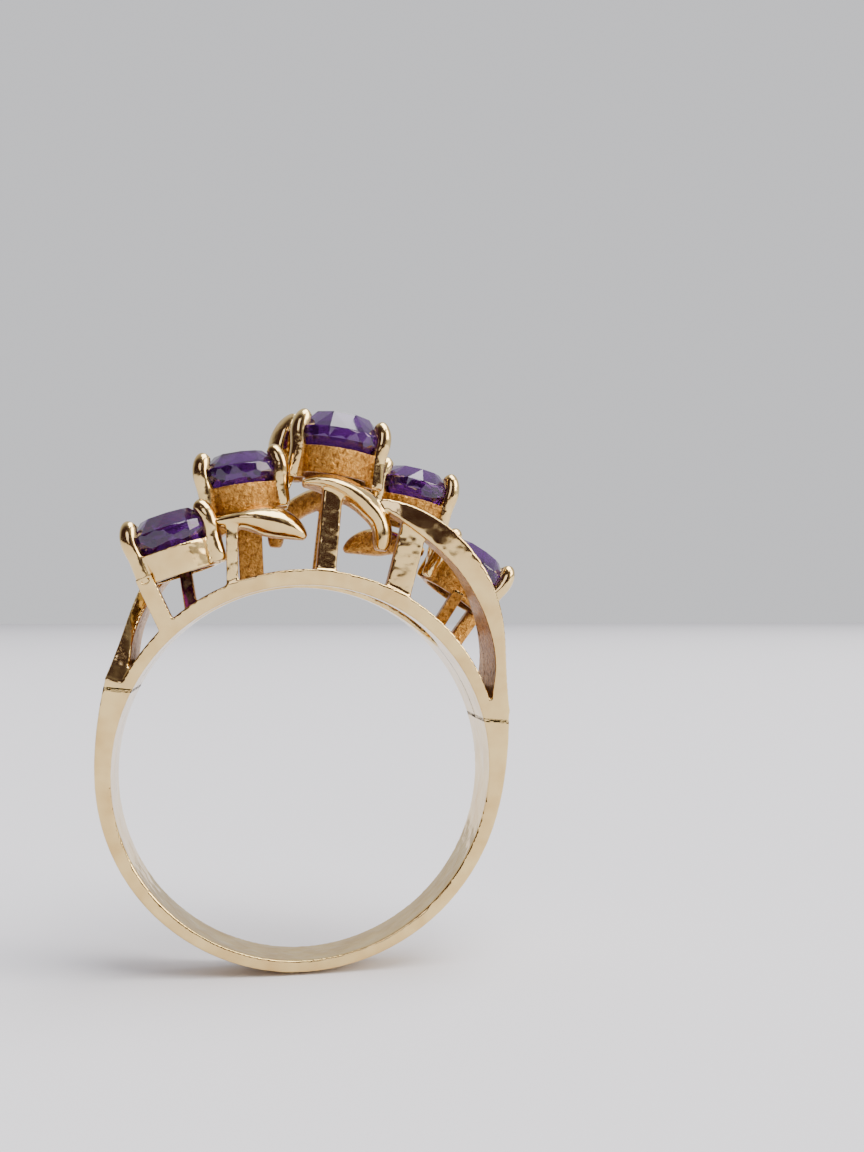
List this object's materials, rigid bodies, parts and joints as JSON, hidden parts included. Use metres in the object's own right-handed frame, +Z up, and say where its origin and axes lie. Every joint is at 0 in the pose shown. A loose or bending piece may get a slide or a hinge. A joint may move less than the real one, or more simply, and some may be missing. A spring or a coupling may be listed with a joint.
{
  "type": "cocktail ring",
  "caption": "Gold cocktail ring with a plain tapered band, an open gallery, crossing shoulder sweeps and a diagonal row of claw-set round purple stones.",
  "frame": {"origin": "centre of the finger hole, half way across the band's width", "axes": "+Z up through the centre stone, +Y along the finger, +X across the hand towards the shoulder whose sweep passes on the -Y side"},
  "size_m": [0.0193, 0.0078, 0.0264],
  "materials": {
    "gold": "polished",
    "amethyst": "polished"
  },
  "bodies": {
    "root": {"back_centre_leaf": "gold", "back_centre_post": "gold", "back_gallery_rail": "gold", "back_inner_strut": "gold", "back_leaf_post": "gold", "back_outer_strut": "gold", "back_side_leaf": "gold", "back_sweep": "gold", "back_sweep_post": "gold", "centre_amethyst": "amethyst", "centre_claws": "gold", "centre_collar": "gold", "fluted_petal": "gold", "front_centre_leaf": "gold", "front_centre_post": "gold", "front_gallery_rail": "gold", "front_inner_strut": "gold", "front_leaf_post": "gold", "front_outer_strut": "gold", "front_side_leaf": "gold", "front_sweep": "gold", "front_sweep_post": "gold", "left_low_amethyst": "amethyst", "left_low_claws": "gold", "left_low_collar": "gold", "left_mid_amethyst": "amethyst", "left_mid_bridge": "gold", "left_mid_claws": "gold", "left_mid_collar": "gold", "right_low_amethyst": "amethyst", "right_low_bridge": "gold", "right_low_claws": "gold", "right_low_collar": "gold", "right_mid_amethyst": "amethyst", "right_mid_claws": "gold", "right_mid_collar": "gold", "shank": "gold"}
  },
  "joints": []
}
